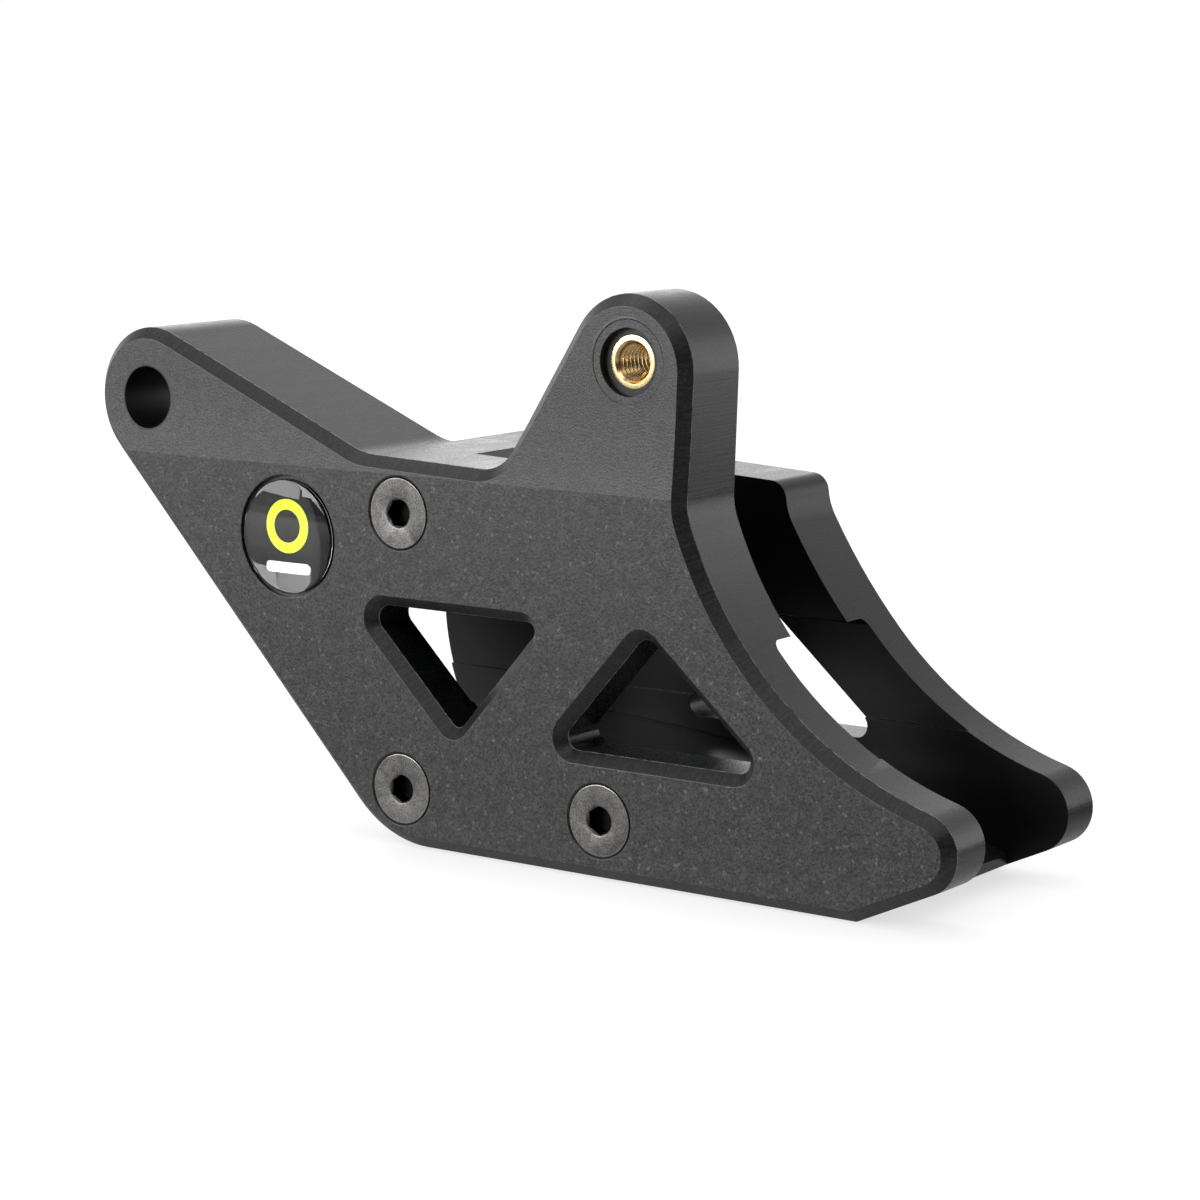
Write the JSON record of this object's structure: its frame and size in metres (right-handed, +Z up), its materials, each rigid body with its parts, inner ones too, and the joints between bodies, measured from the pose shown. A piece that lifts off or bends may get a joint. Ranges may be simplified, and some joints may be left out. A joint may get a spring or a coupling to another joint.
{
  "type": "motorcycle chain guide",
  "caption": "Milled plastic chain guide: two cheeks with triangular windows over a wear block, a front boss with a bore, and an ear with a threaded insert.",
  "frame": {"origin": "axis of the front mounting bore, in the chain's centre plane", "axes": "+X to the rear along the chain run, +Y from the near cheek with the badge to the far cheek, +Z up from the flat underside"},
  "size_m": [0.17, 0.0461, 0.0918],
  "materials": {
    "body_plastic": "matt milled black plastic with fine pale specks and tool marks on the chamfers",
    "runner_plastic": "satin black plastic, smooth where the chain runs",
    "insert_brass": "bright turned brass",
    "badge_print": "black printed disc with a plain lime ring and a short pale bar",
    "badge_clear": "clear glossy domed resin",
    "screw_steel": "grey steel with fine wear and a brighter rim",
    "nut_steel": "zinc-plated steel",
    "nut_ring": "pale nylon"
  },
  "bodies": {
    "root": {"side_body": "body_plastic", "far_plate": "body_plastic", "wear_block": "runner_plastic", "ear_insert": "insert_brass", "badge_base": "badge_print", "badge_dome": "badge_clear", "screw_upper": "screw_steel", "screw_front": "screw_steel", "screw_rear": "screw_steel", "nut_upper": "nut_steel", "nut_front": "nut_steel", "nut_rear": "nut_steel", "nut_ring_upper": "nut_ring", "nut_ring_front": "nut_ring", "nut_ring_rear": "nut_ring"}
  },
  "joints": []
}
